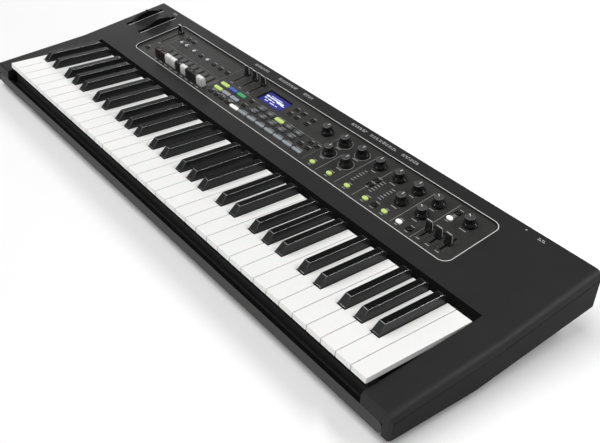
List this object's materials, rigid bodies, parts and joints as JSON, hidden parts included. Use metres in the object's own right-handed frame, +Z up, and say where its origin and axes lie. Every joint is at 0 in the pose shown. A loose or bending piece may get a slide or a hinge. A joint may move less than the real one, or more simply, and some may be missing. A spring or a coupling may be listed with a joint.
{
  "type": "synthesizer",
  "caption": "Portable 61-key stage synthesizer in a charcoal plastic case, with drawbars, sliders, knobs, a small display and rear sockets.",
  "frame": {"origin": "middle of the footprint, on the surface the feet stand on", "axes": "+X towards the treble end at the player's right, +Y towards the rear sockets, +Z up"},
  "size_m": [0.937, 0.33, 0.0946],
  "materials": {
    "case": "fine textured charcoal",
    "rail": "fine textured grey",
    "gloss_black": "gloss",
    "white_keys": "semi matte",
    "black_keys": "matte",
    "white_caps": "satin",
    "brown_caps": "satin",
    "buttons": "translucent satin",
    "dark_buttons": "satin",
    "lens": "clear",
    "lcd": "backlit",
    "pcb": "solder mask",
    "metal": "plated",
    "rubber": "matte",
    "felt": "felt",
    "socket_metal": "plated"
  },
  "bodies": {
    "body": {"upper_case": "case", "lower_case": "rail", "control_panel": "case", "display_window": "lens", "display_module": "lcd", "circuit_boards": "pcb", "knob_pots": "metal", "slider_tracks": "metal", "keybed_frame": "gloss_black", "key_felt": "felt", "jack_sockets": "socket_metal", "data_sockets": "socket_metal", "rubber_feet": "rubber", "case_screws": "metal", "lever_housing": "case"},
    "knob_dial": {"knob_dial": "gloss_black"},
    "knob_1": {"knob_1": "gloss_black"},
    "knob_2": {"knob_2": "gloss_black"},
    "knob_3": {"knob_3": "gloss_black"},
    "knob_4": {"knob_4": "gloss_black"},
    "knob_5": {"knob_5": "gloss_black"},
    "knob_6": {"knob_6": "gloss_black"},
    "knob_7": {"knob_7": "gloss_black"},
    "knob_8": {"knob_8": "gloss_black"},
    "knob_9": {"knob_9": "gloss_black"},
    "knob_10": {"knob_10": "gloss_black"},
    "knob_11": {"knob_11": "gloss_black"},
    "pitch_lever": {"pitch_lever": "gloss_black"},
    "modulation_lever": {"modulation_lever": "gloss_black"},
    "slider_volume": {"slider_volume": "gloss_black"},
    "slider_part_1": {"slider_part_1": "gloss_black"},
    "slider_part_2": {"slider_part_2": "gloss_black"},
    "slider_part_3": {"slider_part_3": "gloss_black"},
    "slider_low": {"slider_low": "gloss_black"},
    "slider_mid": {"slider_mid": "gloss_black"},
    "slider_high": {"slider_high": "gloss_black"},
    "drawbars_brown": {"drawbars_brown": "brown_caps"},
    "drawbars_white": {"drawbars_white": "white_caps"},
    "drawbars_black": {"drawbars_black": "gloss_black"},
    "keys_lower_white": {"keys_lower_white": "white_keys"},
    "keys_lower_black": {"keys_lower_black": "black_keys"},
    "keys_upper_white": {"keys_upper_white": "white_keys"},
    "keys_upper_black": {"keys_upper_black": "black_keys"},
    "key_c": {"key_c": "white_keys"},
    "key_c_sharp": {"key_c_sharp": "black_keys"},
    "key_d": {"key_d": "white_keys"},
    "key_d_sharp": {"key_d_sharp": "black_keys"},
    "key_e": {"key_e": "white_keys"},
    "key_f": {"key_f": "white_keys"},
    "key_f_sharp": {"key_f_sharp": "black_keys"},
    "key_g": {"key_g": "white_keys"},
    "key_g_sharp": {"key_g_sharp": "black_keys"},
    "key_a": {"key_a": "white_keys"},
    "key_a_sharp": {"key_a_sharp": "black_keys"},
    "key_b": {"key_b": "white_keys"},
    "part_select_buttons": {"part_select_buttons": "buttons"},
    "voice_buttons": {"voice_buttons": "buttons"},
    "effect_buttons": {"effect_buttons": "buttons"},
    "menu_buttons": {"menu_buttons": "dark_buttons"},
    "power_button": {"power_button": "gloss_black"}
  },
  "joints": [
    {"name": "knob_dial_turn", "type": "hinge", "parent": "body", "child": "knob_dial", "pos_m": [0.0493, 0.117, 0.07797], "axis": [0, -0.165, 0.9863], "continuous": true},
    {"name": "knob_1_turn", "type": "hinge", "parent": "body", "child": "knob_1", "pos_m": [0.087, 0.117, 0.07797], "axis": [0, -0.165, 0.9863], "range_deg": [-150, 150]},
    {"name": "knob_2_turn", "type": "hinge", "parent": "body", "child": "knob_2", "pos_m": [0.087, 0.087, 0.07295], "axis": [0, -0.165, 0.9863], "range_deg": [-150, 150]},
    {"name": "knob_3_turn", "type": "hinge", "parent": "body", "child": "knob_3", "pos_m": [0.122, 0.117, 0.07797], "axis": [0, -0.165, 0.9863], "range_deg": [-150, 150]},
    {"name": "knob_4_turn", "type": "hinge", "parent": "body", "child": "knob_4", "pos_m": [0.122, 0.087, 0.07295], "axis": [0, -0.165, 0.9863], "range_deg": [-150, 150]},
    {"name": "knob_5_turn", "type": "hinge", "parent": "body", "child": "knob_5", "pos_m": [0.157, 0.117, 0.07797], "axis": [0, -0.165, 0.9863], "range_deg": [-150, 150]},
    {"name": "knob_6_turn", "type": "hinge", "parent": "body", "child": "knob_6", "pos_m": [0.193, 0.117, 0.07797], "axis": [0, -0.165, 0.9863], "range_deg": [-150, 150]},
    {"name": "knob_7_turn", "type": "hinge", "parent": "body", "child": "knob_7", "pos_m": [0.2275, 0.117, 0.07797], "axis": [0, -0.165, 0.9863], "range_deg": [-150, 150]},
    {"name": "knob_8_turn", "type": "hinge", "parent": "body", "child": "knob_8", "pos_m": [0.2275, 0.086, 0.07278], "axis": [0, -0.165, 0.9863], "range_deg": [-150, 150]},
    {"name": "knob_9_turn", "type": "hinge", "parent": "body", "child": "knob_9", "pos_m": [0.2625, 0.117, 0.07797], "axis": [0, -0.165, 0.9863], "range_deg": [-200, 100]},
    {"name": "knob_10_turn", "type": "hinge", "parent": "body", "child": "knob_10", "pos_m": [0.2625, 0.087, 0.07295], "axis": [0, -0.165, 0.9863], "range_deg": [-200, 100]},
    {"name": "knob_11_turn", "type": "hinge", "parent": "body", "child": "knob_11", "pos_m": [0.3135, 0.117, 0.07797], "axis": [0, -0.165, 0.9863], "range_deg": [-200, 100]},
    {"name": "pitch_bend", "type": "hinge", "parent": "body", "child": "pitch_lever", "pos_m": [-0.4395, 0.11953, 0.04442], "axis": [1, 0, 0], "range_deg": [-22, 22], "stiffness_Nm_per_rad": 0.2},
    {"name": "modulation", "type": "hinge", "parent": "body", "child": "modulation_lever", "pos_m": [-0.4, 0.11953, 0.04442], "axis": [1, 0, 0], "range_deg": [-22, 14]},
    {"name": "slider_volume_travel", "type": "slide", "parent": "body", "child": "slider_volume", "axis": [0, 0.9863, 0.165], "range_m": [-0.0377, 0.0057]},
    {"name": "slider_part_1_travel", "type": "slide", "parent": "body", "child": "slider_part_1", "axis": [0, 0.9863, 0.165], "range_m": [-0.024, 0.0037]},
    {"name": "slider_part_2_travel", "type": "slide", "parent": "body", "child": "slider_part_2", "axis": [0, 0.9863, 0.165], "range_m": [-0.024, 0.0037]},
    {"name": "slider_part_3_travel", "type": "slide", "parent": "body", "child": "slider_part_3", "axis": [0, 0.9863, 0.165], "range_m": [-0.024, 0.0037]},
    {"name": "slider_low_travel", "type": "slide", "parent": "body", "child": "slider_low", "axis": [0, 0.9863, 0.165], "range_m": [-0.0128, 0.0103]},
    {"name": "slider_mid_travel", "type": "slide", "parent": "body", "child": "slider_mid", "axis": [0, 0.9863, 0.165], "range_m": [-0.0128, 0.0103]},
    {"name": "slider_high_travel", "type": "slide", "parent": "body", "child": "slider_high", "axis": [0, 0.9863, 0.165], "range_m": [-0.0128, 0.0103]},
    {"name": "drawbars_brown_travel", "type": "slide", "parent": "body", "child": "drawbars_brown", "axis": [0, 0.9863, 0.165], "range_m": [0, 0.024]},
    {"name": "drawbars_white_travel", "type": "slide", "parent": "body", "child": "drawbars_white", "axis": [0, 0.9863, 0.165], "range_m": [0, 0.024]},
    {"name": "drawbars_black_travel", "type": "slide", "parent": "body", "child": "drawbars_black", "axis": [0, 0.9863, 0.165], "range_m": [0, 0.024]},
    {"name": "keys_lower_white_press", "type": "hinge", "parent": "body", "child": "keys_lower_white", "pos_m": [0, 0.04, 0.0445], "axis": [1, 0, 0], "range_deg": [0, 2.8], "stiffness_Nm_per_rad": 14, "springref_deg": -5.73},
    {"name": "keys_lower_black_press", "type": "hinge", "parent": "body", "child": "keys_lower_black", "pos_m": [0, 0.04, 0.0445], "axis": [1, 0, 0], "range_deg": [0, 2.8], "stiffness_Nm_per_rad": 10, "springref_deg": -5.73},
    {"name": "keys_upper_white_press", "type": "hinge", "parent": "body", "child": "keys_upper_white", "pos_m": [0, 0.04, 0.0445], "axis": [1, 0, 0], "range_deg": [0, 2.8], "stiffness_Nm_per_rad": 15, "springref_deg": -5.73},
    {"name": "keys_upper_black_press", "type": "hinge", "parent": "body", "child": "keys_upper_black", "pos_m": [0, 0.04, 0.0445], "axis": [1, 0, 0], "range_deg": [0, 2.8], "stiffness_Nm_per_rad": 10, "springref_deg": -5.73},
    {"name": "key_c_press", "type": "hinge", "parent": "body", "child": "key_c", "pos_m": [0, 0.04, 0.0445], "axis": [1, 0, 0], "range_deg": [0, 2.8], "stiffness_Nm_per_rad": 1, "springref_deg": -5.73},
    {"name": "key_c_sharp_press", "type": "hinge", "parent": "body", "child": "key_c_sharp", "pos_m": [0, 0.04, 0.0445], "axis": [1, 0, 0], "range_deg": [0, 2.8], "stiffness_Nm_per_rad": 1, "springref_deg": -5.73},
    {"name": "key_d_press", "type": "hinge", "parent": "body", "child": "key_d", "pos_m": [0, 0.04, 0.0445], "axis": [1, 0, 0], "range_deg": [0, 2.8], "stiffness_Nm_per_rad": 1, "springref_deg": -5.73},
    {"name": "key_d_sharp_press", "type": "hinge", "parent": "body", "child": "key_d_sharp", "pos_m": [0, 0.04, 0.0445], "axis": [1, 0, 0], "range_deg": [0, 2.8], "stiffness_Nm_per_rad": 1, "springref_deg": -5.73},
    {"name": "key_e_press", "type": "hinge", "parent": "body", "child": "key_e", "pos_m": [0, 0.04, 0.0445], "axis": [1, 0, 0], "range_deg": [0, 2.8], "stiffness_Nm_per_rad": 1, "springref_deg": -5.73},
    {"name": "key_f_press", "type": "hinge", "parent": "body", "child": "key_f", "pos_m": [0, 0.04, 0.0445], "axis": [1, 0, 0], "range_deg": [0, 2.8], "stiffness_Nm_per_rad": 1, "springref_deg": -5.73},
    {"name": "key_f_sharp_press", "type": "hinge", "parent": "body", "child": "key_f_sharp", "pos_m": [0, 0.04, 0.0445], "axis": [1, 0, 0], "range_deg": [0, 2.8], "stiffness_Nm_per_rad": 1, "springref_deg": -5.73},
    {"name": "key_g_press", "type": "hinge", "parent": "body", "child": "key_g", "pos_m": [0, 0.04, 0.0445], "axis": [1, 0, 0], "range_deg": [0, 2.8], "stiffness_Nm_per_rad": 1, "springref_deg": -5.73},
    {"name": "key_g_sharp_press", "type": "hinge", "parent": "body", "child": "key_g_sharp", "pos_m": [0, 0.04, 0.0445], "axis": [1, 0, 0], "range_deg": [0, 2.8], "stiffness_Nm_per_rad": 1, "springref_deg": -5.73},
    {"name": "key_a_press", "type": "hinge", "parent": "body", "child": "key_a", "pos_m": [0, 0.04, 0.0445], "axis": [1, 0, 0], "range_deg": [0, 2.8], "stiffness_Nm_per_rad": 1, "springref_deg": -5.73},
    {"name": "key_a_sharp_press", "type": "hinge", "parent": "body", "child": "key_a_sharp", "pos_m": [0, 0.04, 0.0445], "axis": [1, 0, 0], "range_deg": [0, 2.8], "stiffness_Nm_per_rad": 1, "springref_deg": -5.73},
    {"name": "key_b_press", "type": "hinge", "parent": "body", "child": "key_b", "pos_m": [0, 0.04, 0.0445], "axis": [1, 0, 0], "range_deg": [0, 2.8], "stiffness_Nm_per_rad": 1, "springref_deg": -5.73},
    {"name": "part_select_buttons_press", "type": "slide", "parent": "body", "child": "part_select_buttons", "axis": [0, 0.165, -0.9863], "range_m": [0, 0.001], "stiffness_N_per_m": 1000, "springref_m": -0.001},
    {"name": "voice_buttons_press", "type": "slide", "parent": "body", "child": "voice_buttons", "axis": [0, 0.165, -0.9863], "range_m": [0, 0.001], "stiffness_N_per_m": 1000, "springref_m": -0.001},
    {"name": "effect_buttons_press", "type": "slide", "parent": "body", "child": "effect_buttons", "axis": [0, 0.165, -0.9863], "range_m": [0, 0.001], "stiffness_N_per_m": 1000, "springref_m": -0.001},
    {"name": "menu_buttons_press", "type": "slide", "parent": "body", "child": "menu_buttons", "axis": [0, 0.165, -0.9863], "range_m": [0, 0.001], "stiffness_N_per_m": 1000, "springref_m": -0.001},
    {"name": "power_button_press", "type": "slide", "parent": "body", "child": "power_button", "axis": [0, -1, 0], "range_m": [0, 0.0015], "stiffness_N_per_m": 500, "springref_m": -0.001}
  ]
}
